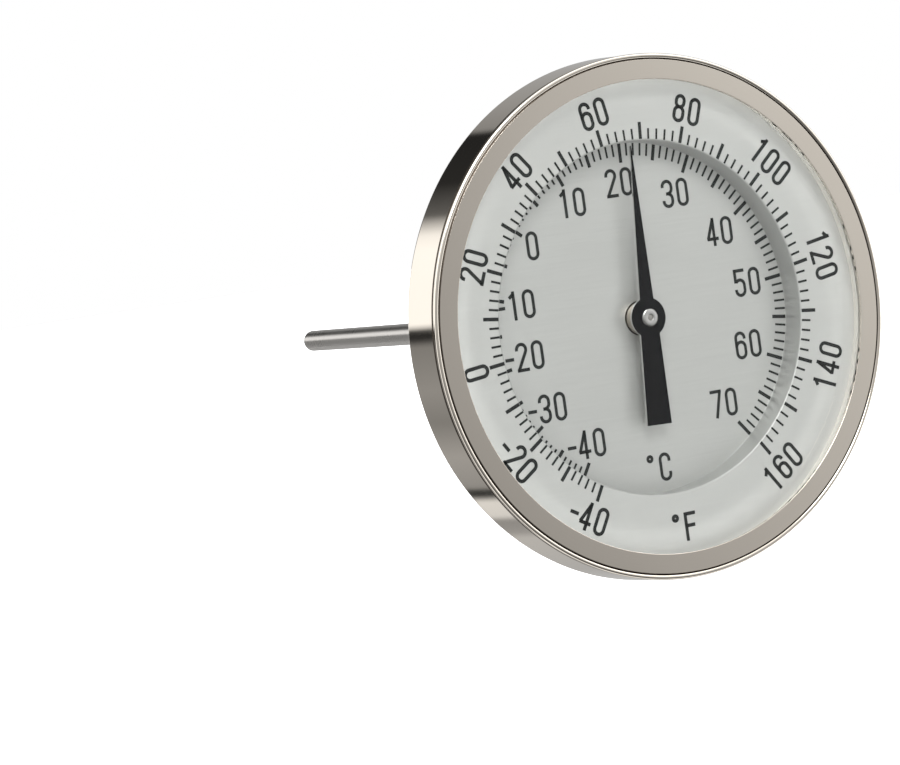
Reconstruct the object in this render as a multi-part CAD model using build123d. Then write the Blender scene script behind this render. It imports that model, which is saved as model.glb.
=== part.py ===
from build123d import *
from math import cos, radians
import os

# A back-connected dial thermometer with a bimetal element.
# The stem axis is Y. The dial faces -Y, its twelve o'clock is +Z and its right-hand side is +X.
# The origin is on the stem axis, where the stem leaves the end of the pipe thread.
# All sizes are in millimetres and all angles in degrees.

# ---- bezel, window and case -------------------------------------------------------------------
BEZEL_RADIUS = 66.0          # over the bead at the front edge
BEZEL_DEPTH = 13.9           # front face to the crimped back edge
BEZEL_SHEET = 1.0
BEZEL_RING = 6.5             # width of the flat front ring, bead included
BEZEL_FLARE = 0.6            # the skirt is this much wider at its back edge
BEZEL_BEND = 1.4             # outside radius where the skirt turns in
BEAD_RADIUS = 0.65
BEAD_GROOVE = 0.15           # depth of the lines on either side of the bead
CASE_SHEET = 0.9
CASE_STEP = 1.9              # the case narrows by this much at its shoulder
CASE_CORNER = 6.0            # outside radius between the case's side and back
WINDOW_THICKNESS = 2.6
WINDOW_CHAMFER = 0.3
GASKET_THICKNESS = 0.6
GASKET_OVERHANG = 0.9        # the gasket stands back this far from the bezel's inner edge
SPACER_HEIGHT = 2.0
SPACER_SETBACK = 2.0         # the spacer stands back this far from the bezel's inner edge
SEAT_LEDGE = 3.5
SEAT_WALL = 1.2
SEAT_LEDGE_THICKNESS = 1.0

# ---- dial ---------------------------------------------------------------------------------------
DIAL_THICKNESS = 0.8
DIAL_DISH = 6.9              # the inner disc lies this far behind the outer ring
DIAL_DISH_RADIUS = 44.7
DIAL_EDGE_ROUND = 0.3
DIAL_COVE = 0.5
MOVEMENT_SPACE = 5.6         # free depth between the dial and the case back

# ---- pointer ------------------------------------------------------------------------------------
POINTER_SETBACK = 2.7        # the pointer's front lies this far behind the dial's outer ring
POINTER_THICKNESS = 0.5
POINTER_TIP_GAP = 1.1        # radial gap between the tip and the wall of the dish
POINTER_TIP_WIDTH = 0.3
POINTER_ROOT_WIDTH = 4.6
POINTER_RING_RADIUS = 5.1
POINTER_TAIL_LENGTH = 27.3
POINTER_TAIL_ROOT = 5.4
POINTER_TAIL_END = 7.3
READING_ANGLE = 2.2          # clockwise from twelve o'clock at rest
HUB_HEAD_RADIUS = 2.35
HUB_HEAD_HEIGHT = 1.0
HUB_HEAD_ROUND = 0.45
HUB_BARREL_RADIUS = 1.6
HUB_FOOT_RADIUS = 2.6
HUB_FOOT_HEIGHT = 0.5
SHAFT_RADIUS = 0.75
SHAFT_DIMPLE = 0.2           # the shaft's end lies this far below the hub's face

# ---- stem and what it holds ---------------------------------------------------------------------
STEM_RADIUS = 3.175
STEM_WALL = 0.725
STEM_LENGTH = 152.4          # end of the thread to the tip
STEM_SHOULDER = 0.225        # the tube is turned down by this much inside the connection
SOCKET_DEPTH = 10.0
TIP_CAP = 3.5                # length of the welded end cap outside the tube
TIP_ROUND = 2.2
TIP_PLUG = 3.0
ANCHOR_LENGTH = 3.0
ANCHOR_POST_LENGTH = 4.0
HELIX_LENGTH = 60.0
HELIX_PITCH = 2.4
HELIX_BORE_RADIUS = 1.72
STRIP_THICKNESS = 0.35
STRIP_WIDTH = 1.5
COLLAR_LENGTH = 3.0
COLLAR_BOSS_LENGTH = 1.6
SHAFT_TAIL = 4.0             # the shaft runs on this far past the collar, inside the helix
GUIDE_LENGTH = 3.0
GUIDE_FLAT = 0.7             # depth of the three flats on each guide
LOWER_GUIDE_ABOVE_COLLAR = 6.0

# ---- connection ---------------------------------------------------------------------------------
THREAD_PITCH = 25.4 / 14
THREAD_LENGTH = 19.0
THREAD_END_RADIUS = 10.36
THREAD_TAPER = 1 / 32        # growth of the radius per unit of length
THREAD_DEPTH = 1.35
THREAD_RUNOUT = 1.6
HEX_ACROSS_FLATS = 22.2
HEX_HEIGHT = 10.0
HEX_CHAMFER = 0.9
SPIGOT_RADIUS = 6.0
HUB_COLLAR_HEIGHT = 3.5
HUB_COLLAR_WALL = 7.0
HUB_FLATS_DEPTH = 0.9
HUB_FLANGE_WALL = 12.0
HUB_FLANGE_HEIGHT = 1.5
HUB_REGISTER_WALL = 2.9
SLIP_WASHER_THICKNESS = 0.5
SLIP_WASHER_WALL = 5.0
SPRING_WASHER_WALL = 2.6
SPRING_WASHER_THICKNESS = 0.6
SPRING_WASHER_RISE = 0.6
NUT_HEIGHT = 3.0
NUT_WALL = 3.5               # spigot to the middle of a flat
NUT_STANDOFF = 0.2           # the spigot stands this far out of the nut
SEAL_SECTION_RADIUS = 0.64
SEAL_GROOVE_DEPTH = 1.3
SEAL_GROOVE_WIDTH = 1.8
BUSH_FLANGE_RADIUS = 4.2
BUSH_BARREL_LENGTH = 6.0
BUSH_TO_HUB_GAP = 0.3

# ---- clearances ---------------------------------------------------------------------------------
LOOSE = 0.1                  # radial, between pieces dropped into one another
SNUG = 0.02                  # radial, between pieces that are pressed or welded
RUNNING = 0.05               # radial, between pieces that turn on each other
DIAL_HOLE_GAP = 0.2          # radial, around the bush that passes through the dial

# ---- stations along the axis, worked out from the thread's end ---------------------------------
hex_back = -THREAD_LENGTH
hex_front = hex_back - HEX_HEIGHT
hub_back = hex_front - SLIP_WASHER_THICKNESS
hub_flange_back = hub_back - HUB_COLLAR_HEIGHT
case_back = hub_flange_back - HUB_FLANGE_HEIGHT
case_floor = case_back - CASE_SHEET
disc_back = case_floor - MOVEMENT_SPACE
disc_front = disc_back - DIAL_THICKNESS
ring_front = disc_front - DIAL_DISH
ring_back = ring_front + DIAL_THICKNESS
window_back = ring_front - SPACER_HEIGHT
window_front = window_back - WINDOW_THICKNESS
lip_back = window_front - GASKET_THICKNESS
bezel_front = lip_back - BEZEL_SHEET
bezel_back = bezel_front + BEZEL_DEPTH
case_shoulder = bezel_back - BEZEL_SHEET
seat_back = case_shoulder - CASE_SHEET
case_rim = window_front - GASKET_THICKNESS / 2
nut_back = case_floor - SPRING_WASHER_THICKNESS - SPRING_WASHER_RISE
nut_front = nut_back - NUT_HEIGHT
spigot_front = nut_front - NUT_STANDOFF
pointer_front = ring_front + POINTER_SETBACK
pointer_back = pointer_front + POINTER_THICKNESS
hub_head_front = pointer_front - HUB_HEAD_HEIGHT
hub_foot_back = pointer_back + HUB_FOOT_HEIGHT
bush_front = hub_foot_back + BUSH_TO_HUB_GAP
shaft_front = hub_head_front + SHAFT_DIMPLE
tube_end = STEM_LENGTH - TIP_CAP
anchor_end = tube_end - TIP_PLUG
anchor_front = anchor_end - ANCHOR_LENGTH
collar_back = anchor_front - HELIX_LENGTH
collar_front = collar_back - COLLAR_LENGTH
lower_guide_back = collar_front - LOWER_GUIDE_ABOVE_COLLAR
middle_guide_back = lower_guide_back / 3

# ---- radii shared by pieces that meet -----------------------------------------------------------
aperture_radius = BEZEL_RADIUS - BEZEL_RING
case_rim_radius = BEZEL_RADIUS - BEZEL_SHEET - LOOSE
skirt_inner_radius = BEZEL_RADIUS - BEZEL_SHEET
case_bore_radius = case_rim_radius - CASE_SHEET
stack_radius = case_bore_radius - LOOSE
case_body_radius = case_rim_radius - CASE_STEP
stem_bore_radius = STEM_RADIUS - STEM_WALL
socket_radius = STEM_RADIUS - STEM_SHOULDER
inside_stem_radius = stem_bore_radius - SNUG
hub_bore_radius = SPIGOT_RADIUS + RUNNING
hub_register_radius = hub_bore_radius + HUB_REGISTER_WALL
hub_collar_radius = hub_bore_radius + HUB_COLLAR_WALL
guide_bore_radius = SHAFT_RADIUS + RUNNING
helix_mean_radius = HELIX_BORE_RADIUS + STRIP_THICKNESS / 2


def profile(points):
    """A closed outline of (radius, y) points beside the Y axis."""
    return make_face(Polyline(*points, close=True))


def softened(face, corner, radius):
    """The outline with the corner nearest to a point rounded off."""
    nearest = face.vertices().sort_by_distance(Vector(*corner))[0]
    return fillet(nearest, radius)


def turned(face):
    return revolve(face, axis=Axis.Y)


def tube(inner, outer, front, back):
    """A plain ring between two stations."""
    return turned(profile([(inner, front), (outer, front), (outer, back), (inner, back)]))


def facing_front(y):
    """A drawing plane at a station, seen from the dial's front: X right, Z up."""
    return Plane.XZ.offset(-y)


def hexagon(across_flats, front, back, chamfer_height):
    """A hexagonal bar between two stations with both rims turned off at the corners."""
    outline = facing_front(back) * RegularPolygon(across_flats / 2, 6, major_radius=False)
    bar = extrude(outline, back - front)
    corner = across_flats / 2 / cos(radians(30))
    flat = across_flats / 2
    envelope = profile([
        (0, front),
        (flat, front),
        (corner, front + chamfer_height),
        (corner, back - chamfer_height),
        (flat, back),
        (0, back),
    ])
    return bar & turned(envelope)


def make_bezel():
    bead_y = bezel_front + BEAD_RADIUS
    bead_r = BEZEL_RADIUS - BEAD_RADIUS
    skirt_front_radius = BEZEL_RADIUS - BEAD_GROOVE
    skirt_back_radius = BEZEL_RADIUS + BEZEL_FLARE
    crimp_radius = case_body_radius + LOOSE
    sheet = profile([
        (aperture_radius, bezel_front + BEAD_GROOVE),
        (bead_r, bezel_front + BEAD_GROOVE),
        (skirt_front_radius, bead_y),
        (skirt_back_radius, bezel_back),
        (crimp_radius, bezel_back),
        (crimp_radius, case_shoulder),
        (skirt_inner_radius, case_shoulder),
        (skirt_inner_radius, lip_back),
        (aperture_radius, lip_back),
    ])
    sheet = softened(sheet, (skirt_back_radius, bezel_back), BEZEL_BEND)
    sheet = softened(sheet, (aperture_radius, bezel_front + BEAD_GROOVE), BEAD_GROOVE)
    bead = Pos(bead_r, bead_y) * Circle(BEAD_RADIUS)
    return turned(sheet) + turned(bead)


def make_case():
    side_height = case_back - case_shoulder
    corner = min(CASE_CORNER, 0.9 * side_height)
    pan = profile([
        (hub_register_radius + SNUG, case_back),
        (case_body_radius, case_back),
        (case_body_radius, case_shoulder),
        (case_rim_radius, case_shoulder),
        (case_rim_radius, case_rim),
        (case_bore_radius, case_rim),
        (case_bore_radius, seat_back),
        (case_body_radius - CASE_SHEET, seat_back),
        (case_body_radius - CASE_SHEET, case_floor),
        (hub_register_radius + SNUG, case_floor),
    ])
    pan = softened(pan, (case_body_radius, case_back), corner)
    pan = softened(pan, (case_body_radius - CASE_SHEET, case_floor), corner - CASE_SHEET)
    return turned(pan)


def make_window():
    radius = stack_radius
    return turned(profile([
        (0, window_front),
        (radius - WINDOW_CHAMFER, window_front),
        (radius, window_front + WINDOW_CHAMFER),
        (radius, window_back - WINDOW_CHAMFER),
        (radius - WINDOW_CHAMFER, window_back),
        (0, window_back),
    ]))


def make_seat_ring():
    """An L-section ring that holds the dial's rim up from the case's shoulder."""
    return turned(profile([
        (stack_radius - SEAT_LEDGE, ring_back),
        (stack_radius, ring_back),
        (stack_radius, seat_back),
        (stack_radius - SEAT_WALL, seat_back),
        (stack_radius - SEAT_WALL, ring_back + SEAT_LEDGE_THICKNESS),
        (stack_radius - SEAT_LEDGE, ring_back + SEAT_LEDGE_THICKNESS),
    ]))


def make_dial():
    """A flat outer ring, a short wall and an inner disc that lies behind the ring."""
    hole = BUSH_FLANGE_RADIUS + DIAL_HOLE_GAP
    wall_outside = DIAL_DISH_RADIUS + DIAL_THICKNESS
    plate = profile([
        (hole, disc_front),
        (DIAL_DISH_RADIUS, disc_front),
        (DIAL_DISH_RADIUS, ring_front),
        (stack_radius, ring_front),
        (stack_radius, ring_back),
        (wall_outside, ring_back),
        (wall_outside, disc_back),
        (hole, disc_back),
    ])
    plate = softened(plate, (DIAL_DISH_RADIUS, ring_front), DIAL_EDGE_ROUND)
    plate = softened(plate, (DIAL_DISH_RADIUS, disc_front), DIAL_COVE)
    plate = softened(plate, (wall_outside, disc_back), DIAL_COVE)
    return turned(plate)


def make_case_hub():
    """The turned boss in the case back that bears on the spigot, with two wrench flats."""
    boss = turned(profile([
        (hub_bore_radius, case_floor),
        (hub_register_radius, case_floor),
        (hub_register_radius, case_back),
        (hub_bore_radius + HUB_FLANGE_WALL, case_back),
        (hub_bore_radius + HUB_FLANGE_WALL, hub_flange_back),
        (hub_collar_radius, hub_flange_back),
        (hub_collar_radius, hub_back),
        (hub_bore_radius, hub_back),
    ]))
    half = hub_collar_radius
    between_flats = 2 * (hub_collar_radius - HUB_FLATS_DEPTH)
    keep_width = facing_front(hub_back) * Rectangle(between_flats, 2 * half)
    collar_space = facing_front(hub_back) * Rectangle(4 * half, 4 * half)
    off_cut = extrude(collar_space - keep_width, HUB_COLLAR_HEIGHT)
    return boss - off_cut


def thread_outline():
    """Crests and roots of the tapered thread, as (radius, y) from the hexagon to the free end."""
    points = []
    turns = int((THREAD_LENGTH - THREAD_RUNOUT) / THREAD_PITCH)
    start = -turns * THREAD_PITCH
    for turn in range(turns):
        y = start + turn * THREAD_PITCH
        for share, depth in ((0.06, 0), (0.46, 1), (0.54, 1), (0.94, 0)):
            at = y + share * THREAD_PITCH
            crest = THREAD_END_RADIUS - THREAD_TAPER * at
            points.append((crest - depth * THREAD_DEPTH, at))
    return points


def make_connection():
    """Hexagon, tapered pipe thread and the spigot that the case hub turns on, in one piece."""
    threads = thread_outline()
    root = threads[1][0]
    thread_top = threads[0][1]
    groove_middle = (case_back + hub_back) / 2
    groove_front = groove_middle - SEAL_GROOVE_WIDTH / 2
    groove_back = groove_middle + SEAL_GROOVE_WIDTH / 2
    groove_radius = SPIGOT_RADIUS - SEAL_GROOVE_DEPTH
    socket_front = -SOCKET_DEPTH
    bore = stem_bore_radius
    body = turned(profile([
        (bore, spigot_front),
        (SPIGOT_RADIUS - SNUG, spigot_front),
        (SPIGOT_RADIUS, spigot_front + SNUG),
        (SPIGOT_RADIUS, groove_front),
        (groove_radius, groove_front),
        (groove_radius, groove_back),
        (SPIGOT_RADIUS, groove_back),
        (SPIGOT_RADIUS, hex_front),
        (root, hex_front),
        (root, thread_top - THREAD_PITCH / 2),
        *threads,
        (threads[-1][0] - THREAD_DEPTH / 2, 0),
        (socket_radius + SNUG, 0),
        (socket_radius + SNUG, socket_front),
        (bore, socket_front),
    ]))
    hexagon_bar = hexagon(HEX_ACROSS_FLATS, hex_front, hex_back, HEX_CHAMFER)
    return body + (hexagon_bar - tube(0, bore, hex_front, hex_back))


def make_stem_tube():
    socket_front = -SOCKET_DEPTH
    return turned(profile([
        (stem_bore_radius, socket_front),
        (socket_radius, socket_front),
        (socket_radius, 0),
        (STEM_RADIUS, 0),
        (STEM_RADIUS, tube_end),
        (stem_bore_radius, tube_end),
    ]))


def make_stem_tip():
    cap = profile([
        (0, anchor_end),
        (inside_stem_radius, anchor_end),
        (inside_stem_radius, tube_end),
        (STEM_RADIUS, tube_end),
        (STEM_RADIUS, STEM_LENGTH),
        (0, STEM_LENGTH),
    ])
    return turned(softened(cap, (STEM_RADIUS, STEM_LENGTH), TIP_ROUND))


def make_helix_anchor():
    """A plug welded into the stem; the first turns of the helix sit round its post."""
    post_radius = HELIX_BORE_RADIUS - SNUG
    return turned(profile([
        (0, anchor_front - ANCHOR_POST_LENGTH),
        (post_radius, anchor_front - ANCHOR_POST_LENGTH),
        (post_radius, anchor_front),
        (inside_stem_radius, anchor_front),
        (inside_stem_radius, anchor_end),
        (0, anchor_end),
    ]))


def make_bimetal_helix():
    """A flat strip wound into a long open coil, fixed at the tip end of the stem."""
    margin = STRIP_WIDTH / 2 + RUNNING
    height = HELIX_LENGTH - 2 * margin
    path = Helix(HELIX_PITCH, height, helix_mean_radius,
                 center=(0, collar_back + margin, 0), direction=(0, 1, 0))
    start = path @ 0
    outwards = Vector(start.X, 0, start.Z)
    section = Plane(origin=start, x_dir=outwards, z_dir=path % 0)
    strip = section * Rectangle(STRIP_THICKNESS, STRIP_WIDTH)
    return sweep(strip, path=path, is_frenet=True)


def make_shaft():
    return tube(0, SHAFT_RADIUS, shaft_front, collar_back + SHAFT_TAIL)


def make_helix_collar():
    """The bush that ties the free end of the helix to the shaft."""
    boss_radius = HELIX_BORE_RADIUS - 2 * RUNNING
    flange_radius = helix_mean_radius + STRIP_THICKNESS / 2
    return turned(profile([
        (SHAFT_RADIUS + SNUG, collar_front),
        (flange_radius, collar_front),
        (flange_radius, collar_back),
        (boss_radius, collar_back),
        (boss_radius, collar_back + COLLAR_BOSS_LENGTH),
        (SHAFT_RADIUS + SNUG, collar_back + COLLAR_BOSS_LENGTH),
    ]))


def make_guide(back):
    """A shaft guide for the inside of the stem, with three flats so that it can be slid in."""
    disc = tube(guide_bore_radius, inside_stem_radius, back - GUIDE_LENGTH, back)
    middle = back - GUIDE_LENGTH / 2
    block_centre = inside_stem_radius - GUIDE_FLAT + inside_stem_radius
    block = Box(4 * inside_stem_radius, 2 * GUIDE_LENGTH, 2 * inside_stem_radius)
    block = Pos(0, middle, block_centre) * block
    for turn in range(3):
        disc -= block.rotate(Axis.Y, 120 * turn)
    return disc


def make_shaft_bush():
    """The front bearing of the shaft; its head passes through the dial's central hole."""
    barrel_back = spigot_front + BUSH_BARREL_LENGTH
    return turned(profile([
        (guide_bore_radius, bush_front),
        (BUSH_FLANGE_RADIUS, bush_front),
        (BUSH_FLANGE_RADIUS, spigot_front),
        (inside_stem_radius, spigot_front),
        (inside_stem_radius, barrel_back),
        (guide_bore_radius, barrel_back),
    ]))


def make_lock_nut():
    bore = SPIGOT_RADIUS + SNUG
    nut = hexagon(2 * (SPIGOT_RADIUS + NUT_WALL), nut_front, nut_back, NUT_HEIGHT / 6)
    return nut - tube(0, bore, nut_front, nut_back)


def make_spring_washer():
    """A coned disc spring that presses the case hub against the slip washer."""
    inner = SPIGOT_RADIUS + LOOSE
    outer = inner + SPRING_WASHER_WALL
    return turned(profile([
        (inner, nut_back),
        (outer, nut_back + SPRING_WASHER_RISE),
        (outer, case_floor),
        (inner, nut_back + SPRING_WASHER_THICKNESS),
    ]))


def make_spigot_seal():
    middle_radius = SPIGOT_RADIUS - SEAL_SECTION_RADIUS
    middle_y = (case_back + hub_back) / 2
    return turned(Pos(middle_radius, middle_y) * Circle(SEAL_SECTION_RADIUS))


def make_pointer():
    """Blade, ring and balance tail cut from one sheet, turned to the resting reading."""
    tip = DIAL_DISH_RADIUS - POINTER_TIP_GAP
    plane = facing_front(pointer_back)
    blade = Polyline(
        (-POINTER_ROOT_WIDTH / 2, 0),
        (-POINTER_TIP_WIDTH / 2, tip),
        (POINTER_TIP_WIDTH / 2, tip),
        (POINTER_ROOT_WIDTH / 2, 0),
        close=True,
    )
    tail = Polyline(
        (-POINTER_TAIL_ROOT / 2, 0),
        (-POINTER_TAIL_END / 2, -POINTER_TAIL_LENGTH),
        (POINTER_TAIL_END / 2, -POINTER_TAIL_LENGTH),
        (POINTER_TAIL_ROOT / 2, 0),
        close=True,
    )
    outline = make_face(blade) + make_face(tail) + Circle(POINTER_RING_RADIUS)
    outline -= Circle(HUB_BARREL_RADIUS + SNUG)
    sheet = extrude(plane * outline, POINTER_THICKNESS)
    return sheet.rotate(Axis.Y, READING_ANGLE)


def make_pointer_hub():
    """The bright rivet bush that carries the pointer on the end of the shaft."""
    bore = SHAFT_RADIUS + SNUG
    hub = profile([
        (bore, hub_head_front),
        (HUB_HEAD_RADIUS, hub_head_front),
        (HUB_HEAD_RADIUS, pointer_front),
        (HUB_BARREL_RADIUS, pointer_front),
        (HUB_BARREL_RADIUS, pointer_back),
        (HUB_FOOT_RADIUS, pointer_back),
        (HUB_FOOT_RADIUS, hub_foot_back),
        (bore, hub_foot_back),
    ])
    return turned(softened(hub, (HUB_HEAD_RADIUS, hub_head_front), HUB_HEAD_ROUND))


gasket_inner = aperture_radius + GASKET_OVERHANG
spacer_inner = aperture_radius + SPACER_SETBACK
slip_inner = SPIGOT_RADIUS + LOOSE

pieces = {
    "bezel": make_bezel(),
    "window": make_window(),
    "window_gasket": tube(gasket_inner, stack_radius, lip_back, window_front),
    "window_spacer": tube(spacer_inner, stack_radius, window_back, ring_front),
    "dial_plate": make_dial(),
    "dial_seat_ring": make_seat_ring(),
    "case": make_case(),
    "case_hub": make_case_hub(),
    "pointer": make_pointer(),
    "pointer_hub": make_pointer_hub(),
    "pointer_shaft": make_shaft(),
    "helix_collar": make_helix_collar(),
    "bimetal_helix": make_bimetal_helix(),
    "helix_anchor": make_helix_anchor(),
    "shaft_bush": make_shaft_bush(),
    "middle_shaft_guide": make_guide(middle_guide_back),
    "lower_shaft_guide": make_guide(lower_guide_back),
    "threaded_connection": make_connection(),
    "lock_nut": make_lock_nut(),
    "spring_washer": make_spring_washer(),
    "slip_washer": tube(slip_inner, slip_inner + SLIP_WASHER_WALL, hub_back, hex_front),
    "spigot_seal": make_spigot_seal(),
    "stem_tube": make_stem_tube(),
    "stem_tip": make_stem_tip(),
}

os.makedirs("parts", exist_ok=True)
for name, piece in pieces.items():
    export_step(piece, f"parts/{name}.step")
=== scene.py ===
import math

import bmesh
import bpy
from mathutils import Matrix, Vector


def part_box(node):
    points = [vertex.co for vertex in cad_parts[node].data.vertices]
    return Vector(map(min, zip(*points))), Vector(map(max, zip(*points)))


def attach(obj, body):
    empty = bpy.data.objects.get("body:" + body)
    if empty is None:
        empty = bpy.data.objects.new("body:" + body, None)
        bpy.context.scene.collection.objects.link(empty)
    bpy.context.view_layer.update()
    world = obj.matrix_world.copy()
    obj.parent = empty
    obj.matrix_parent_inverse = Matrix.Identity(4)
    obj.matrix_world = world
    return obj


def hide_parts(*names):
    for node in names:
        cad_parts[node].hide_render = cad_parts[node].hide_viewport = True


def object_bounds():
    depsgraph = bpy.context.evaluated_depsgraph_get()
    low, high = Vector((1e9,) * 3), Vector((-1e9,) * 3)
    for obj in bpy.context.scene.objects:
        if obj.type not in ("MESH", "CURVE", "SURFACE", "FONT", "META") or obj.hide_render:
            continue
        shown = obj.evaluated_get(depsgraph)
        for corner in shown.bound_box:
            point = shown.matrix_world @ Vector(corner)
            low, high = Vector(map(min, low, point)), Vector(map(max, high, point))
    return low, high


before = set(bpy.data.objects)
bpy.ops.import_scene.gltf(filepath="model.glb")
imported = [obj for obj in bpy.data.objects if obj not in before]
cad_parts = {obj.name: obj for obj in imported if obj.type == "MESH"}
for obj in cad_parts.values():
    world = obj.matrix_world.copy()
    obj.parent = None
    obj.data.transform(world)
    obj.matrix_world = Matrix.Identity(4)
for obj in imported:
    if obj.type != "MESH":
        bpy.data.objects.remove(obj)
cad_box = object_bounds()

# The stem axis is Y. The dial faces -Y, twelve o'clock is +Z and three o'clock is +X.
# Sizes are in millimetres, beside the stations and radii read from the frame. The stage is in metres.
MM = 0.001


# Where a CAD node begins and ends along the stem, and how far it reaches from the axis.
def front(node):
    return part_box(node)[0].y / MM


def back(node):
    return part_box(node)[1].y / MM


def reach(node):
    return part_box(node)[1].x / MM


# ---- bezel, window stack and case ---------------------------------------------------------------
BEZEL_RADIUS = 66.0
BEZEL_SHEET = 1.0
BEZEL_RING = 6.5
BEZEL_FLARE = 0.6
BEZEL_BEND = 1.4
BEAD_RADIUS = 0.65
BEAD_ARC = (-150, 50)        # degrees from the outward radius towards the back
BEAD_POINTS = 18
BEAD_GROOVE = 0.15
ROLLED_LINE_WIDTH = 0.32     # the pressed line between the bead and the flat ring
SKIRT_LINE_WIDTH = 0.5       # the one between the bead and the skirt
ROLLED_LINE_DEPTH = 0.3
PRESSED_ROUND = 0.06
HAIR = 0.03
LIP_ROUND = 0.15
CRIMP_ROUND = 0.2
CASE_SHEET = 0.9
CASE_STEP = 1.9
CASE_CORNER = 6.0
CASE_HOLE_ROUND = 0.15
CASE_SHOULDER_ROUND = 0.3
CASE_RIM_ROUND = 0.1
LOOSE = 0.1
WINDOW_CHAMFER = 0.3
GASKET_OVERHANG = 0.9
SPACER_SETBACK = 2.0
RING_ROUND = 0.08

# ---- dial ---------------------------------------------------------------------------------------
DIAL_THICKNESS = 0.8
DISH_RADIUS = 44.7
DISH_EDGE_ROUND = 0.5
DISH_COVE = 0.2
DIAL_HOLE_RADIUS = 4.4
DIAL_HOLE_ROUNDS = (0.05, 0.1)   # in front and behind
INK_THICKNESS = 0.03
INK_SINK = 0.01

# ---- pointer ------------------------------------------------------------------------------------
POINTER_REACH = 43.6
POINTER_TIP_WIDTH = 0.3
POINTER_ROOT_WIDTH = 4.6
POINTER_RING_RADIUS = 5.1
TAIL_LENGTH = 27.3
TAIL_ROOT_WIDTH = 5.4
TAIL_END_WIDTH = 7.3
POINTER_EDGE_ROUND = 0.09
POINTER_RING_STEPS = 24      # on each side
READING_ANGLE = 2.2
RIVET_BARREL_RADIUS = 1.6
RIVET_HEAD_RADIUS = 2.35
RIVET_HEAD_ROUND = 0.45
RIVET_ROUND = 0.1
SHAFT_ROUND = 0.12
SHAFT_GAP = 0.05
BUSH_ROUNDS = (0.15, 0.35, 0.2)     # round its bore, its rim and its foot
SNUG = 0.02

# ---- connection and stem ------------------------------------------------------------------------
THREAD_PITCH = 25.4 / 14
THREAD_LENGTH = 19.0
THREAD_END_RADIUS = 10.36
THREAD_TAPER = 1 / 32
THREAD_DEPTH = 1.35
THREAD_RUNOUT = 1.6
THREAD_START = (0.15, 1.1)   # its height over the root at the free end, and the slope up from there
THREAD_FADE = (0.25, 1.2)    # the same at the hexagon
THREAD_SINK = 0.5            # how far it goes on inside the hexagon
THREAD_WELD = 1e-3
THREAD_PROFILE = ((0.06, 0), (0.46, 1), (0.54, 1), (0.94, 0))    # share of the pitch, share of the depth
HEX_ACROSS_FLATS = 22.2
HEX_HEIGHT = 10.0
HEX_WASHER_FACE = 0.96       # of the flats
HEX_CHAMFER_SLOPE = math.tan(math.radians(30))
HEX_CUTS = 15                # points along each side, for the curve of its chamfer
HUB_COLLAR_HEIGHT = 3.5
HUB_COLLAR_RADIUS = 13.05
HUB_FLATS_DEPTH = 0.9
HUB_FLANGE_HEIGHT = 1.5
HUB_REGISTER_RADIUS = 8.95
HUB_BORE_RADIUS = 6.05
SPIGOT_RADIUS = 6.0
SPIGOT_ROUND = 0.2
SPIGOT_SINK = 1.0            # how far it goes on inside the hexagon
WASHER_ROUND = 0.05
STEM_WALL = 0.725
TIP_ROUND = 2.2

ring_front = front("dial_plate")
disc_back = back("dial_plate")
disc_front = disc_back - DIAL_THICKNESS
ring_back = ring_front + DIAL_THICKNESS
stack_radius = reach("dial_plate")
bezel_front = front("bezel")
bezel_back = back("bezel")
aperture_radius = BEZEL_RADIUS - BEZEL_RING
case_body_radius = BEZEL_RADIUS - BEZEL_SHEET - LOOSE - CASE_STEP
hex_back = -THREAD_LENGTH
hex_front = hex_back - HEX_HEIGHT

FULL_TURN = 2 * math.pi
FINEST_STEPS = 288
FINE_STEPS = 240
RING_STEPS = 192
BOSS_STEPS = 144
STEM_STEPS = 96
SMALL_STEPS = 72
LARGE_ROUND = 1.0            # from here on a rounding gets the greater number of segments
LARGE_ROUND_SEGMENTS = 10
SMALL_ROUND_SEGMENTS = 4
SOFT_ANGLE = math.radians(32)
THREAD_SOFT_ANGLE = math.radians(24)
WELD = 1e-4                  # points closer than this become one
CUT_WELD = 1e-5              # and so close to a cutting plane they lie on it


# ---- making pieces ------------------------------------------------------------------------------
def finished(mesh, name, materials, body, replaces=(), soft_angle=SOFT_ANGLE):
    """Writes a mesh drawn in millimetres as a piece in its place, and ties it to its CAD body."""
    bmesh.ops.recalc_face_normals(mesh, faces=mesh.faces)
    bmesh.ops.scale(mesh, vec=(MM, MM, MM), verts=mesh.verts)
    data = bpy.data.meshes.new(name)
    mesh.to_mesh(data)
    mesh.free()
    data.shade_smooth()
    data.set_sharp_from_angle(angle=soft_angle)
    piece = bpy.data.objects.new(name, data)
    bpy.context.scene.collection.objects.link(piece)
    for material in materials:
        data.materials.append(material)
    normals = piece.modifiers.new("even_normals", "WEIGHTED_NORMAL")
    normals.keep_sharp = True
    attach(piece, body)
    if replaces:
        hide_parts(*replaces)
    return piece


def round_corner(mesh, corner, radius, segments):
    """Rounds one corner of a wire outline to an arc of that radius."""
    arms = [edge.other_vert(corner).co - corner.co for edge in corner.link_edges]
    opening = arms[0].angle(arms[1])
    bmesh.ops.bevel(
        mesh, geom=[corner], offset=radius / math.tan(opening / 2), offset_type="OFFSET",
        affect="VERTICES", segments=segments, profile=0.5, material=-1, clamp_overlap=True,
    )


def add_copy(target, made, name):
    """Moves a finished mesh into another one."""
    copy = bpy.data.meshes.new(name)
    made.to_mesh(copy)
    made.free()
    target.from_mesh(copy)
    bpy.data.meshes.remove(copy)


def only(kind, parts):
    """The points, edges or faces among what an operator has made."""
    return [part for part in parts if isinstance(part, kind)]


def everything(mesh):
    return mesh.verts[:] + mesh.edges[:] + mesh.faces[:]


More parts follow.
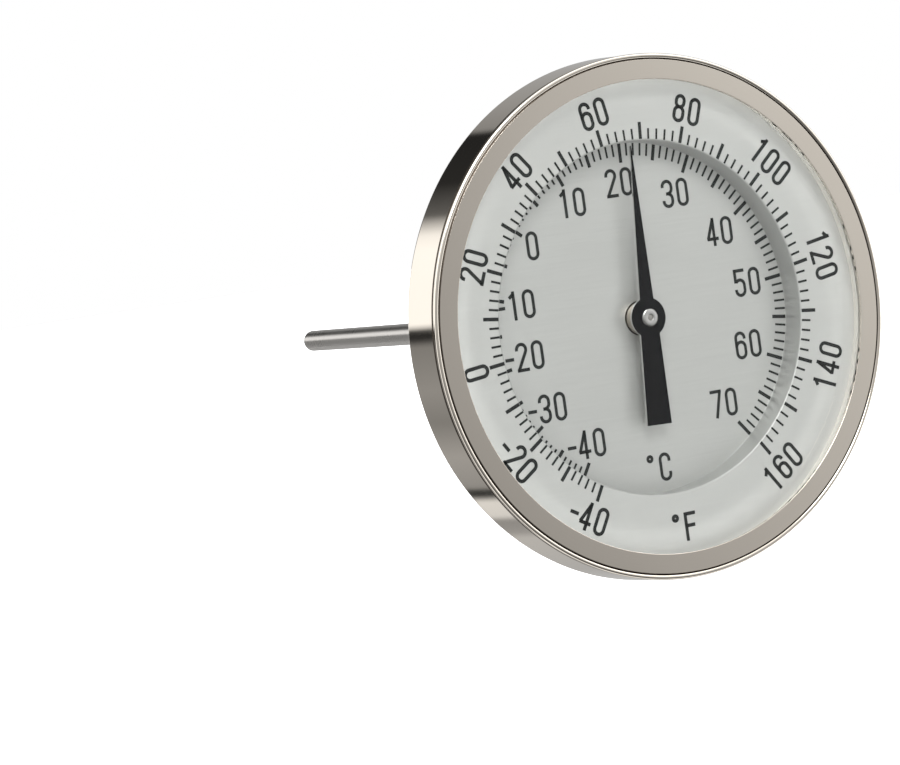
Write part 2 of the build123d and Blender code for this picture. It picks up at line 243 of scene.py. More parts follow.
def draw_outline(mesh, corners, closed=True):
    """A wire beside the axis through (radius, station, rounding) corners."""
    points = [mesh.verts.new((corner[0], corner[1], 0)) for corner in corners]
    following = points[1:] + points[:1] if closed else points[1:]
    for start, end in zip(points, following):
        mesh.edges.new((start, end))
    for point, corner in zip(points, corners):
        if len(corner) > 2:
            segments = SMALL_ROUND_SEGMENTS if corner[2] < LARGE_ROUND else LARGE_ROUND_SEGMENTS
            round_corner(mesh, point, corner[2], segments)


def turn(mesh, corners, steps):
    """Spins an outline round the stem axis. One that starts and ends on the axis stays open there."""
    turned = bmesh.new()
    on_axis = corners[0][0] == 0 and corners[-1][0] == 0
    draw_outline(turned, corners, closed=not on_axis)
    bmesh.ops.spin(
        turned, geom=turned.verts[:] + turned.edges[:], cent=(0, 0, 0), axis=(0, 1, 0),
        angle=FULL_TURN, steps=steps, use_merge=True,
    )
    bmesh.ops.remove_doubles(turned, verts=turned.verts, dist=WELD)
    bmesh.ops.recalc_face_normals(turned, faces=turned.faces)
    add_copy(mesh, turned, "turned")


def turned_piece(name, node, corners, material, body, steps):
    """A piece turned from one outline, in place of its CAD node."""
    mesh = bmesh.new()
    turn(mesh, corners, steps)
    return finished(mesh, name, [material], body, (node,))


def arc(centre, radius, start, end, count):
    """Points on an arc beside the axis; angles in degrees from the outward radius towards the back."""
    angles = [math.radians(start + (end - start) * step / count) for step in range(count + 1)]
    return [(centre[0] + radius * math.cos(a), centre[1] + radius * math.sin(a)) for a in angles]


# ---- finishes -----------------------------------------------------------------------------------
class Level:
    """A value that varies over a surface. A sum or a product of levels adds its Math nodes."""

    def __init__(self, nodes, socket):
        self.nodes = nodes
        self.socket = socket

    def __add__(self, other):
        return self.nodes.math("ADD", self, other)

    def __sub__(self, other):
        return self.nodes.math("SUBTRACT", self, other)

    def __rsub__(self, other):
        return self.nodes.math("SUBTRACT", other, self)

    def __mul__(self, other):
        return self.nodes.math("MULTIPLY", self, other)

    def __truediv__(self, other):
        return self.nodes.math("DIVIDE", self, other)

    def __pow__(self, other):
        return self.nodes.math("POWER", self, other)

    __radd__ = __add__
    __rmul__ = __mul__


class Nodes:
    """A node tree that is written as expressions."""

    def __init__(self, tree):
        self.tree = tree

    def node(self, kind, settings=None, sockets=None, output=0):
        node = self.tree.nodes.new("ShaderNode" + kind)
        for setting, value in (settings or {}).items():
            if setting == "stops":
                self.set_stops(node.color_ramp, value)
            else:
                setattr(node, setting, value)
        for socket, value in (sockets or {}).items():
            self.feed(node.inputs[socket], value)
        return Level(self, node.outputs[output])

    def math(self, operation, *values):
        return self.node("Math", {"operation": operation}, dict(enumerate(values)))

    def set_stops(self, ramp, stops):
        while len(ramp.elements) < len(stops):
            ramp.elements.new(1.0)
        for element, (position, colour) in zip(ramp.elements, stops):
            element.position = position
            element.color = colour

    def feed(self, socket, value):
        if isinstance(value, Level):
            self.tree.links.new(value.socket, socket)
        else:
            socket.default_value = value

    def axes(self, output="Object"):
        """The three coordinates of a place or a direction."""
        parts = self.node("SeparateXYZ", {}, {0: self.node("TexCoord", output=output)})
        outputs = parts.socket.node.outputs
        return [Level(self, outputs[index]) for index in range(3)]

    def between(self, level, low, high):
        """Moves a level from 0..1 to low..high."""
        return self.node("MapRange", {"clamp": True}, {
            "Value": level, "From Min": 0.0, "From Max": 1.0, "To Min": low, "To Max": high,
        })

    def step(self, level, low, high):
        """0 below low, 1 above high and a smooth step between."""
        return self.node("MapRange", {"interpolation_type": "SMOOTHSTEP"}, {
            "Value": level, "From Min": low, "From Max": high, "To Min": 0.0, "To Max": 1.0,
        })

    def colours(self, level, first, second):
        """A colour between two, by a level. Each is red, green and blue, or varies itself."""
        ends = [end if isinstance(end, Level) else (*end, 1.0) for end in (first, second)]
        return self.node("Mix", {"data_type": "RGBA"}, {0: level, 6: ends[0], 7: ends[1]}, output=2)


class Finish(Nodes):
    """A material with one Principled shader: constants on its sockets, nodes for what varies."""

    def __init__(self, name, **constants):
        self.material = bpy.data.materials.new(name)
        self.material.use_nodes = True
        super().__init__(self.material.node_tree)
        self.shader = self.tree.nodes["Principled BSDF"]
        for socket, value in constants.items():
            self.shader.inputs[socket.replace("_", " ")].default_value = value

    def vary(self, **levels):
        """Feeds the shader's own sockets."""
        for socket, value in levels.items():
            self.feed(self.shader.inputs[socket.replace("_", " ")], value)
        return self

    def place(self, scale=(1, 1, 1)):
        """The place on the piece, in metres, stretched by a scale."""
        raw = self.node("TexCoord", output="Object")
        return self.node("Mapping", {}, {"Vector": raw, "Scale": scale})

    def station(self):
        """The place along the stem axis, in metres."""
        return self.axes()[1]

    def from_axis(self):
        """The distance from the stem axis, in metres."""
        x, _, z = self.axes()
        return (x * x + z * z) ** 0.5

    def noise(self, place, scale, detail):
        return self.node("TexNoise", {}, {"Vector": place, "Scale": scale, "Detail": detail})

    def line_noise(self, along, scale, detail):
        """Noise that changes along one measure only, as tool marks do."""
        return self.node("TexNoise", {"noise_dimensions": "1D"}, {
            "W": along, "Scale": scale, "Detail": detail,
        })

    def bump(self, height, distance, strength):
        return self.node("Bump", {}, {
            "Height": height, "Distance": distance, "Strength": strength,
        })


def polished_steel():
    """Buffed stainless sheet: a mirror with faint rings from the polishing wheel."""
    finish = Finish("polished_steel", Metallic=1.0)
    rings = finish.line_noise(finish.from_axis() + finish.station() * 0.7, 2600.0, 3.0)
    haze = finish.noise(finish.place(), 42.0, 3.0)
    return finish.vary(
        Base_Color=finish.colours(haze, (0.665, 0.612, 0.54), (0.70, 0.648, 0.575)),
        Roughness=finish.between(haze * 0.7 + rings * 0.3, 0.03, 0.10),
        Normal=finish.bump(rings, 0.00001, 0.25),
    ).material


def burnt_steel():
    """Painted shade: near-black steel for the bottom of a pressed line, standing in for the shadow there."""
    finish = Finish("rolled_line_shade", Metallic=1.0)
    specks = finish.noise(finish.place(), 700.0, 3.0)
    return finish.vary(
        Base_Color=finish.colours(specks, (0.045, 0.035, 0.028), (0.12, 0.10, 0.08)),
        Roughness=finish.between(specks, 0.3, 0.5),
    ).material


def worked_metal(name, darkest, palest, roughness, grain=1800.0, rings=True):
    """Metal with fine tool or drawing marks, in rings round the axis or in lines along it."""
    finish = Finish(name, Metallic=1.0)
    if rings:
        marks = finish.line_noise(finish.from_axis() + finish.station() * 0.83, grain, 4.0)
    else:
        marks = finish.noise(finish.place((1.0, 0.02, 1.0)), grain, 3.0)
    haze = finish.noise(finish.place(), 60.0, 4.0)
    tone = marks * 0.5 + haze * 0.5
    return finish.vary(
        Base_Color=finish.colours(tone, darkest, palest),
        Roughness=finish.between(tone, *roughness),
        Normal=finish.bump(marks, 0.00003, 0.35),
    ).material


# Where the dial's finish changes, in metres from the axis: its rim is lacquer more than metal. Painted
# light: the raised ring is painted a little paler than the disc, the rim a touch darker and the outermost
# edge paler still, to even out the shade that the bezel's lip casts there.
RAISED_RING_LIGHT_FADE = (0.0443, 0.0455)
RIM_FADE = (0.0515, 0.0575)
EDGE_LIGHT_FADE = (0.0560, 0.0615)


def dial_face():
    """Satin aluminium, brushed straight across and lacquered."""
    finish = Finish("dial_face", Specular_IOR_Level=0.5)
    hair = finish.noise(finish.place((0.03, 1.0, 1.0)), 2400.0, 3.0)
    streaks = finish.noise(finish.place((0.12, 1.0, 1.0)), 160.0, 3.0)
    clouds = finish.noise(finish.place(), 22.0, 2.0)
    tone = hair * 0.45 + streaks * 0.3 + clouds * 0.25
    satin = finish.colours(tone, (0.438, 0.443, 0.434), (0.565, 0.57, 0.557))
    radius = finish.from_axis()
    raised_ring_light = finish.step(radius, *RAISED_RING_LIGHT_FADE)
    rim = finish.step(radius, *RIM_FADE)
    edge = finish.step(radius, *EDGE_LIGHT_FADE)
    # Painted light: a paler raised ring and edge and a slightly darker rim even out the lip's shade in the
    # base colour.
    painted_light = raised_ring_light * 0.12 + edge * 0.42 - rim * 0.03
    return finish.vary(
        Base_Color=finish.colours(painted_light, satin, (0.93, 0.93, 0.905)),
        Metallic=finish.between(rim, 0.5, 0.06),
        Roughness=finish.between(tone, 0.36, 0.46),
        Normal=finish.bump(hair, 0.00004, 0.3),
    ).material


def scale_ink():
    """Charcoal screen ink, a little uneven."""
    finish = Finish("scale_ink", Metallic=0.0, Specular_IOR_Level=0.3)
    patches = finish.noise(finish.place(), 900.0, 3.0)
    return finish.vary(
        Base_Color=finish.colours(patches, (0.006, 0.007, 0.007), (0.016, 0.018, 0.018)),
        Roughness=finish.between(patches, 0.5, 0.7),
    ).material


def pointer_paint():
    """Black stove paint with a fine orange peel."""
    finish = Finish("black_paint", Metallic=0.0, Specular_IOR_Level=0.08)
    peel = finish.noise(finish.place(), 1500.0, 2.0)
    dust = finish.noise(finish.place(), 260.0, 4.0)
    return finish.vary(
        Base_Color=finish.colours(dust, (0.002, 0.002, 0.003), (0.007, 0.007, 0.008)),
        Roughness=finish.between(dust, 0.38, 0.55),
        Normal=finish.bump(peel, 0.00001, 0.3),
    ).material


def spacer_finish():
    """Aluminium strip under a pale satin coat."""
    finish = Finish("satin_aluminium", Metallic=0.0, Specular_IOR_Level=0.6)
    lines = finish.line_noise(finish.station(), 6000.0, 3.0)
    haze = finish.noise(finish.place(), 90.0, 3.0)
    return finish.vary(
        Base_Color=finish.colours(haze, (0.96, 0.925, 0.86), (0.99, 0.965, 0.91)),
        Roughness=finish.between(lines * 0.5 + haze * 0.5, 0.32, 0.5),
        Normal=finish.bump(lines, 0.00002, 0.3),
    ).material


def rubber():
    """Matt dark seal rubber."""
    finish = Finish("dark_rubber", Metallic=0.0, Specular_IOR_Level=0.3)
    grain = finish.noise(finish.place(), 1200.0, 3.0)
    return finish.vary(
        Base_Color=finish.colours(grain, (0.030, 0.026, 0.022), (0.055, 0.048, 0.040)),
        Roughness=finish.between(grain, 0.6, 0.8),
        Normal=finish.bump(grain, 0.00004, 0.4),
    ).material


def white_plastic():
    """Slippery white washer sheet."""
    finish = Finish("white_ptfe", Metallic=0.0, Specular_IOR_Level=0.4)
    cloud = finish.noise(finish.place(), 300.0, 3.0)
    return finish.vary(
        Base_Color=finish.colours(cloud, (0.78, 0.78, 0.76), (0.88, 0.88, 0.86)),
        Roughness=finish.between(cloud, 0.45, 0.6),
    ).material


WINDOW_GLOSS_IOR = 1.22     # bloomed glass mirrors less than plain glass


def window_glass():
    """Clear flat glass: light goes straight through, and each face mirrors a little."""
    finish = Finish("window_glass")
    smears = finish.noise(finish.place(), 30.0, 3.0)
    tree = finish.tree
    tree.nodes.remove(finish.shader)
    gloss = finish.node("BsdfAnisotropic", {}, {
        "Color": (1, 1, 1, 1), "Roughness": finish.between(smears, 0.0, 0.05),
    })
    clear = finish.node("BsdfTransparent", {}, {"Color": (0.99, 0.993, 0.988, 1)})
    facing = finish.node("Fresnel", {}, {"IOR": WINDOW_GLOSS_IOR})
    mixed = finish.node("MixShader", {}, {0: facing, 1: clear, 2: gloss})
    output = tree.nodes["Material Output"]
    tree.links.new(mixed.socket, output.inputs["Surface"])
    return finish.material


METAL = {
    "bezel": polished_steel(),
    "case": worked_metal("drawn_steel", (0.50, 0.48, 0.455), (0.62, 0.60, 0.57), (0.16, 0.28)),
    "stem": worked_metal("ground_steel", (0.44, 0.42, 0.40), (0.58, 0.56, 0.53), (0.22, 0.36), 2600.0),
    "turned": worked_metal("machined_steel", (0.48, 0.465, 0.445), (0.62, 0.60, 0.58), (0.18, 0.30), 2200.0),
    "rivet": worked_metal("hub_metal", (0.62, 0.61, 0.60), (0.80, 0.79, 0.78), (0.16, 0.26), 5200.0),
    "bush": worked_metal("bush_metal", (0.50, 0.45, 0.39), (0.66, 0.60, 0.53), (0.2, 0.32), 3600.0),
    "blade": worked_metal(
        "bare_blade", (0.66, 0.66, 0.65), (0.84, 0.84, 0.82), (0.18, 0.32), 2600.0, rings=False,
    ),
    "spring": worked_metal("spring_steel", (0.40, 0.39, 0.37), (0.54, 0.52, 0.50), (0.18, 0.3), 2400.0),
    "brass": worked_metal("brass", (0.62, 0.45, 0.20), (0.78, 0.60, 0.32), (0.2, 0.34), 3200.0),
    "bimetal": worked_metal(
        "bimetal", (0.46, 0.42, 0.35), (0.62, 0.57, 0.48), (0.22, 0.36), 3000.0, rings=False,
    ),
}
LINE_SHADE = burnt_steel()
DIAL = dial_face()
INK = scale_ink()
PAINT = pointer_paint()
SPACER = spacer_finish()
RUBBER = rubber()
PTFE = white_plastic()
GLASS = window_glass()


# ---- bezel, window stack and case ---------------------------------------------------------------
def make_bezel():
    """A ring pressed from sheet: flat front, rolled bead between two pressed lines, flared skirt."""
    bead = (BEZEL_RADIUS - BEAD_RADIUS, bezel_front + BEAD_RADIUS)
    ring = bezel_front + BEAD_GROOVE
    skirt_front = BEZEL_RADIUS - BEAD_GROOVE
    skirt_back = BEZEL_RADIUS + BEZEL_FLARE
    lip_back = bezel_front + BEZEL_SHEET
    shoulder = bezel_back - BEZEL_SHEET
    inside = BEZEL_RADIUS - BEZEL_SHEET
    crimp = case_body_radius + LOOSE
    rolled = arc(bead, BEAD_RADIUS, *BEAD_ARC, BEAD_POINTS)
    flare = BEZEL_FLARE / (bezel_back - bead[1])
    ring_edge = bead[0] - BEAD_RADIUS - ROLLED_LINE_WIDTH
    skirt_line = bead[1] + BEAD_RADIUS + SKIRT_LINE_WIDTH
    corners = [
        (aperture_radius, ring, LIP_ROUND),
        (ring_edge, ring, PRESSED_ROUND),
        (rolled[0][0] - HAIR, ring + ROLLED_LINE_DEPTH),
        *rolled,
        (rolled[-1][0], bead[1] + BEAD_RADIUS),
        (skirt_front + flare * (skirt_line - bead[1]), skirt_line, PRESSED_ROUND),
        (skirt_back, bezel_back, BEZEL_BEND),
        (crimp, bezel_back, CRIMP_ROUND),
        (crimp, shoulder),
        (inside, shoulder),
        (inside, lip_back),
        (aperture_radius, lip_back, LIP_ROUND),
    ]
    shell = turned_piece(
        "bezel_shell", "bezel", corners, METAL["bezel"], "head", FINEST_STEPS,
    )
    # The faces inside the two pressed lines take the painted shade: near-black steel that stands in for
    # their shadow.
    shell.data.materials.append(LINE_SHADE)
    line_floor = ring + 2 * ROLLED_LINE_DEPTH
    for face in shell.data.polygons:
        radius = math.hypot(face.center.x, face.center.z) / MM
        station = face.center.y / MM
        shaded_front_line = ring_edge < radius < rolled[1][0] and ring + HAIR < station < line_floor
        shaded_skirt_line = radius > inside + BEAD_GROOVE and rolled[-2][1] < station < skirt_line - HAIR
        if shaded_front_line or shaded_skirt_line:
            face.material_index = 1
    return shell


def make_window():
    """A flat round pane with ground edges."""
    near, far = front("window"), back("window")
    radius = reach("window")
    corners = [
        (0, near),
        (radius - WINDOW_CHAMFER, near),
        (radius, near + WINDOW_CHAMFER),
        (radius, far - WINDOW_CHAMFER),
        (radius - WINDOW_CHAMFER, far),
        (0, far),
    ]
    return turned_piece("window_pane", "window", corners, GLASS, "head", RING_STEPS)


def make_ring(name, node, inner, material, body="head", rounding=RING_ROUND, steps=RING_STEPS):
    """A flat ring as deep and as wide as its CAD node, with every corner rounded."""
    near, far, outer = front(node), back(node), reach(node)
    places = [(inner, near), (outer, near), (outer, far), (inner, far)]
    corners = [(radius, station, rounding) for radius, station in places]
    return turned_piece(name, node, corners, material, body, steps)


def make_dial():
    """One pressing: a flat disc, a short wall and the raised ring round it."""
    wall_outside = DISH_RADIUS + DIAL_THICKNESS
    corners = [
        (DIAL_HOLE_RADIUS, disc_front, DIAL_HOLE_ROUNDS[0]),
        (DISH_RADIUS, disc_front, DISH_COVE),
        (DISH_RADIUS, ring_front, DISH_EDGE_ROUND),
        (stack_radius, ring_front),
        (stack_radius, ring_back),
        (wall_outside, ring_back),
        (wall_outside, disc_back, DISH_COVE),
        (DIAL_HOLE_RADIUS, disc_back, DIAL_HOLE_ROUNDS[1]),
    ]
    return turned_piece("dial_dish", "dial_plate", corners, DIAL, "head", FINEST_STEPS)


def make_case():
    """A pan pressed from sheet, with a step for the crimped bezel and a hole for its boss."""
    rim, case_back = front("case"), back("case")
    floor = case_back - CASE_SHEET
    shoulder = bezel_back - BEZEL_SHEET
    rim_radius = reach("case")
    seat_back = shoulder - CASE_SHEET
    hole = HUB_REGISTER_RADIUS + SNUG
    inner = case_body_radius - CASE_SHEET
    corners = [
        (hole, case_back, CASE_HOLE_ROUND),
        (case_body_radius, case_back, CASE_CORNER),
        (case_body_radius, shoulder, CASE_SHOULDER_ROUND),
        (rim_radius, shoulder, CASE_SHOULDER_ROUND),
        (rim_radius, rim, CASE_RIM_ROUND),
        (rim_radius - CASE_SHEET, rim, CASE_RIM_ROUND),
        (rim_radius - CASE_SHEET, seat_back),
        (inner, seat_back),
        (inner, floor, CASE_CORNER - CASE_SHEET),
        (hole, floor),
    ]
    return turned_piece("case_pan", "case", corners, METAL["case"], "head", FINE_STEPS)


def make_case_hub():
    """A flange riveted through the pan's back, with two flats on its collar."""
    near, far = front("case_hub"), back("case_hub")
    flange_radius = reach("case_hub")
    flange_back = far - HUB_COLLAR_HEIGHT
    flange_front = flange_back - HUB_FLANGE_HEIGHT
    mesh = bmesh.new()
    collar = [
        (HUB_BORE_RADIUS, flange_front),
        (HUB_COLLAR_RADIUS, flange_front),
        (HUB_COLLAR_RADIUS, far, 0.3),
        (HUB_BORE_RADIUS, far, 0.2),
    ]
    turn(mesh, collar, BOSS_STEPS)
    for side in (-1, 1):
        flat = side * (HUB_COLLAR_RADIUS - HUB_FLATS_DEPTH)
        cut = bmesh.ops.bisect_plane(
            mesh, geom=everything(mesh), dist=CUT_WELD,
            plane_co=(flat, 0, 0), plane_no=(side, 0, 0), clear_outer=True,
        )
        bmesh.ops.contextual_create(mesh, geom=only(bmesh.types.BMEdge, cut["geom_cut"]))
    flange = [
        (HUB_BORE_RADIUS, near),
        (HUB_REGISTER_RADIUS, near),
        (HUB_REGISTER_RADIUS, flange_front),
        (flange_radius, flange_front),
        (flange_radius, flange_back, 0.35),
        (HUB_BORE_RADIUS, flange_back),
    ]
    turn(mesh, flange, BOSS_STEPS)
    return finished(mesh, "case_boss", [METAL["turned"]], "head", ("case_hub",))


# ---- printed scales -----------------------------------------------------------------------------
ANGLE_AT_60 = -10.8
DEGREES_PER_F = 1.474
SQUARED_SHARE = 7.251
CUBED_SHARE = -0.132
F_LOW, F_HIGH, F_STEP, F_MAJOR, F_LABEL = -40, 160, 2, 10, 20
C_LOW, C_HIGH, C_FIVE, C_TEN = -40, 70, 5, 10
C_COLD_DRIFT = 0.045     # its cold end is printed this much further round, per degree below ten
F_TICK_INNER = 45.0
F_TICK_OUTER = 47.7
F_MAJOR_OUTER = 49.3
C_TICK_OUTER = 44.6
C_TICK_INNER = 41.4
C_FIVE_INNER = 40.5
C_TEN_INNER = 39.7
THIN_LINE = 0.56
THICK_LINE = 0.92
F_LABEL_RADIUS = 53.75
F_LABEL_SHIFT = (0.55, 0, -0.25)     # the circle of numbers is printed off centre
F_UPRIGHT = range(0, 121)            # numbers outside this range stand with their feet outwards
NUMERAL_HEIGHT = 7.3
NUMERAL_WIDTH = 3.5
NUMERAL_PITCH = 4.5
F_STROKE = 0.92
C_STROKE = 0.85
DASH_LENGTH = 2.5
DASH_HEIGHT = -0.25
DASH_GAP = 3.6
ARC_STEP = 15


def scale_angle(fahrenheit):
    """Degrees clockwise from twelve o'clock. The helix turns a little further per degree when warm."""
    warm = (fahrenheit - 60) / 100
    straight = ANGLE_AT_60 + DEGREES_PER_F * (fahrenheit - 60)
    return straight + SQUARED_SHARE * warm**2 + CUBED_SHARE * warm**3


def to_fahrenheit(celsius):
    return 1.8 * celsius + 32


def at_clock(angle, radius, station, upright=False):
    """The place on the dial at an angle and a radius; what stands there points outwards or up."""
    turn_to = Matrix.Rotation(math.radians(angle), 4, "Y")
    spot = turn_to @ Vector((0, station, radius))
    lean = Matrix.Identity(4) if upright else turn_to
    return Matrix.Translation(spot) @ lean


def tick(mesh, angle, inner, outer, width, surface):
    """One printed line, from one radius to another."""
    thickness = INK_THICKNESS + INK_SINK
    place = at_clock(angle, (inner + outer) / 2, surface - INK_THICKNESS + thickness / 2)
    size = Matrix.Diagonal((width, thickness, outer - inner, 1.0))
    bmesh.ops.create_cube(mesh, size=1.0, matrix=place @ size)


def make_fahrenheit_lines():
    mesh = bmesh.new()
    for degree in range(F_LOW, F_HIGH + 1, F_STEP):
        major = degree % F_MAJOR == 0
        outer = F_MAJOR_OUTER if major else F_TICK_OUTER
        width = THICK_LINE if major else THIN_LINE
        tick(mesh, scale_angle(degree), F_TICK_INNER, outer, width, ring_front)
    return finished(mesh, "fahrenheit_lines", [INK], "head")


def make_celsius_lines():
    mesh = bmesh.new()
    for degree in range(C_LOW, C_HIGH + 1):
        inner, width = C_TICK_INNER, THIN_LINE
        if degree % C_FIVE == 0:
            inner, width = C_FIVE_INNER, THICK_LINE
        if degree % C_TEN == 0:
            inner = C_TEN_INNER
        drift = C_COLD_DRIFT * max(0, C_TEN - degree)
        tick(mesh, scale_angle(to_fahrenheit(degree)) + drift, inner, C_TICK_OUTER, width, disc_front)
    return finished(mesh, "celsius_lines", [INK], "head")


class Pen:
    """Draws strokes of one width on a flat sheet: X to the right, Z up, facing -Y."""

    def __init__(self, stroke):
        self.mesh = bmesh.new()
        self.stroke = stroke

    def draw(self, x, z, heading, *moves):
        """One stroke from a point. A move is a straight run, or (radius, degrees), an arc to the left."""
        aim = math.radians(heading)
        side = Vector((-math.sin(aim), 0, math.cos(aim))) * self.stroke / 2
        middle = Vector((x, 0, z))
        nib = [self.mesh.verts.new(middle + side), self.mesh.verts.new(middle - side)]
        edge = self.mesh.edges.new(nib)
        for move in moves:
            if isinstance(move, tuple):
                edge, middle, aim = self.bend(edge, middle, aim, *move)
            else:
                edge, middle = self.run(edge, middle, aim, move)

    def run(self, edge, middle, aim, length):
        """Carries the stroke straight on."""
        step = Vector((math.cos(aim), 0, math.sin(aim))) * length
        made = bmesh.ops.extrude_edge_only(self.mesh, edges=[edge])["geom"]
        ends = only(bmesh.types.BMVert, made)
        last = next(part for part in only(bmesh.types.BMEdge, made) if set(part.verts) == set(ends))
        bmesh.ops.translate(self.mesh, verts=ends, vec=step)
        return last, middle + step

    def bend(self, edge, middle, aim, radius, degrees):
        """Carries the stroke round an arc, to the left, or to the right by a negative angle."""
        side = 1 if degrees > 0 else -1
        centre = middle + Vector((-math.sin(aim), 0, math.cos(aim))) * radius * side
        made = bmesh.ops.spin(
            self.mesh, geom=[*edge.verts, edge], cent=centre, axis=(0, -1, 0),
            angle=math.radians(degrees), steps=max(3, round(abs(degrees) / ARC_STEP)), use_merge=False,
        )["geom_last"]
        last = only(bmesh.types.BMEdge, made)[0]
        moved = Matrix.Rotation(math.radians(degrees), 3, (0, -1, 0)) @ (middle - centre) + centre
        return last, moved, aim + math.radians(degrees)

    def print_on(self, sheet, place):
        """Gives the strokes their thickness of ink and adds them to a sheet at a place."""
        mesh = self.mesh
        bmesh.ops.remove_doubles(mesh, verts=mesh.verts, dist=WELD)
        bmesh.ops.recalc_face_normals(mesh, faces=mesh.faces)
        raised = bmesh.ops.extrude_face_region(mesh, geom=mesh.faces[:])["geom"]
        tops = only(bmesh.types.BMVert, raised)
        bmesh.ops.translate(mesh, verts=mesh.verts, vec=(0, INK_SINK, 0))
        bmesh.ops.translate(mesh, verts=tops, vec=(0, -INK_THICKNESS - INK_SINK, 0))
        bmesh.ops.transform(mesh, matrix=place, verts=mesh.verts)
        add_copy(sheet, mesh, "numeral")


def draw_loop(pen, x, low, high, bow):
    """A closed loop with straight sides, from one height to another."""
    side = (high - low) / 2 - bow
    pen.draw(x - bow, (low + high) / 2, 90, side, (bow, -180), 2 * side, (bow, -180), side)


def draw_character(pen, character, x):
    """One character of the scale's narrow gothic, centred on x. Its curves have the radius of a bow.

    Other lengths and offsets are the letter cutter's own: hooks, flags, shelves and bars.
    """
    half = (NUMERAL_HEIGHT - pen.stroke) / 2
    bow = (NUMERAL_WIDTH - pen.stroke) / 2
    edge = pen.stroke / 2
    upper = half - bow
    tall = 2 * half + 2 * edge
    lean = math.degrees(2 * math.atan(bow / (2 * half - bow)))
    if character == "0":
        pen.draw(x - bow, 0, 90, upper, (bow, -180), 2 * upper, (bow, -180), upper)
    elif character == "1":
        stem = x + 0.35
        flag, slant = 1.6, 218
        pen.draw(stem, -half - edge, 90, tall)
        pen.draw(stem, half - 0.25, slant, flag)
    elif character == "2":
        hook = 0.25
        pen.draw(x - bow, upper - hook, 90, hook, (bow, -180 - lean), 2 * half - bow)
        pen.draw(x - bow - edge, -half, 0, 2 * bow + 2 * edge)
    elif character == "3":
        hook, shelf = 0.25, 0.45
        pen.draw(x - bow, upper - hook, 90, hook, (bow, -180), upper - bow, (bow, -90), shelf)
        pen.draw(x - shelf, 0, 0, shelf, (bow, -90), upper - bow, (bow, -180), hook)
    elif character == "4":
        stem = x + 0.5
        bar = -half + 1.45
        slope = math.atan2(half - bar, stem - (x - bow - 0.1))
        pen.draw(stem, -half - edge, 90, tall)
        pen.draw(stem, half, 180 + math.degrees(slope), (half - bar) / math.sin(slope))
        pen.draw(x - bow - 0.35, bar, 0, 2 * bow + 0.85)
    elif character == "5":
        bowl = -0.55
        pen.draw(x + bow + edge * 0.7, half, 180, 2 * bow + edge * 1.6)
        pen.draw(x - bow + 0.05, half + edge, 270, half + edge - bowl - 0.6)
        pen.draw(x - bow * 0.87, bowl + bow * 0.5, 60, (bow, -150), bowl + upper, (bow, -180), 0.3)
    elif character == "6":
        bowl, hook, around = -0.45, 0.3, (bow, 180)
        pen.draw(x + bow, upper - hook, 90, hook, around, 2 * upper, around, bowl + upper, around)
    elif character == "7":
        foot = x - bow + 0.95
        slope = math.atan2(2 * half + edge, x + bow - foot)
        pen.draw(x - bow - edge, half, 0, 2 * bow + 2 * edge)
        pen.draw(x + bow, half, 180 + math.degrees(slope), (2 * half + edge) / math.sin(slope))
    elif character == "8":
        waist = 0.35
        draw_loop(pen, x, waist, half, bow * 0.9)
        draw_loop(pen, x, -half, waist, bow)
    elif character == "-":
        pen.draw(x - DASH_LENGTH / 2, DASH_HEIGHT, 0, DASH_LENGTH)
    elif character == "C":
        hook = 0.6
        pen.draw(x + bow, upper - hook, 90, hook, (bow, 180), 2 * upper, (bow, 180), hook)
    elif character == "F":
        pen.draw(x - bow, -half - edge, 90, tall)
        pen.draw(x - bow, half, 0, 2 * bow + edge)
        pen.draw(x - bow, 0.2, 0, 1.7 * bow + edge)
    elif character == "o":
        ring = 0.62
        pen.draw(x + 0.2 - ring, half - ring, 90, (ring, -180), (ring, -180))


def print_label(sheet, label, stroke, place):
    """Prints a number with its digits centred on a place; a dash stands to their left."""
    pen = Pen(stroke)
    digits = label.lstrip("-")
    first = -NUMERAL_PITCH * (len(digits) - 1) / 2
    for position, digit in enumerate(digits):
        draw_character(pen, digit, first + position * NUMERAL_PITCH)
    if label != digits:
        draw_character(pen, "-", first - DASH_GAP)
    pen.print_on(sheet, place)


def make_fahrenheit_numerals():
    """Numbers that follow the circle, each of them readable from below."""
    sheet = bmesh.new()
    shifted = Matrix.Translation(F_LABEL_SHIFT)
    flipped = Matrix.Rotation(math.pi, 4, "Y")
    for degree in range(F_LOW, F_HIGH + 1, F_LABEL):
        place = shifted @ at_clock(scale_angle(degree), F_LABEL_RADIUS, ring_front)
        if degree not in F_UPRIGHT:
            place = place @ flipped
        print_label(sheet, str(degree), F_STROKE, place)
    print_label(sheet, "oF", F_STROKE, at_clock(180, F_LABEL_RADIUS, ring_front, upright=True))
    return finished(sheet, "fahrenheit_numerals", [INK], "head")


# Across and up from the dial's centre.
CELSIUS_PLACES = {
    -40: (-19.2, -29.2), -30: (-29.0, -18.5), -20: (-33.4, -4.8), -10: (-33.9, 8.1),
    0: (-28.3, 22.2), 10: (-15.3, 31.4), 20: (-0.7, 34.85), 30: (15.55, 30.2),
    40: (27.4, 18.8), 50: (33.8, 4.7), 60: (31.5, -11.3), 70: (21.7, -25.2),
}
CELSIUS_SIGN = (-0.8, -38.5)


def make_celsius_numerals():
    """Upright numbers beside their lines."""
    sheet = bmesh.new()
    for degree, (x, z) in CELSIUS_PLACES.items():
        print_label(sheet, str(degree), C_STROKE, Matrix.Translation((x, disc_front, z)))
    x, z = CELSIUS_SIGN
    print_label(sheet, "oC", C_STROKE, Matrix.Translation((x, disc_front, z)))
    return finished(sheet, "celsius_numerals", [INK], "head")


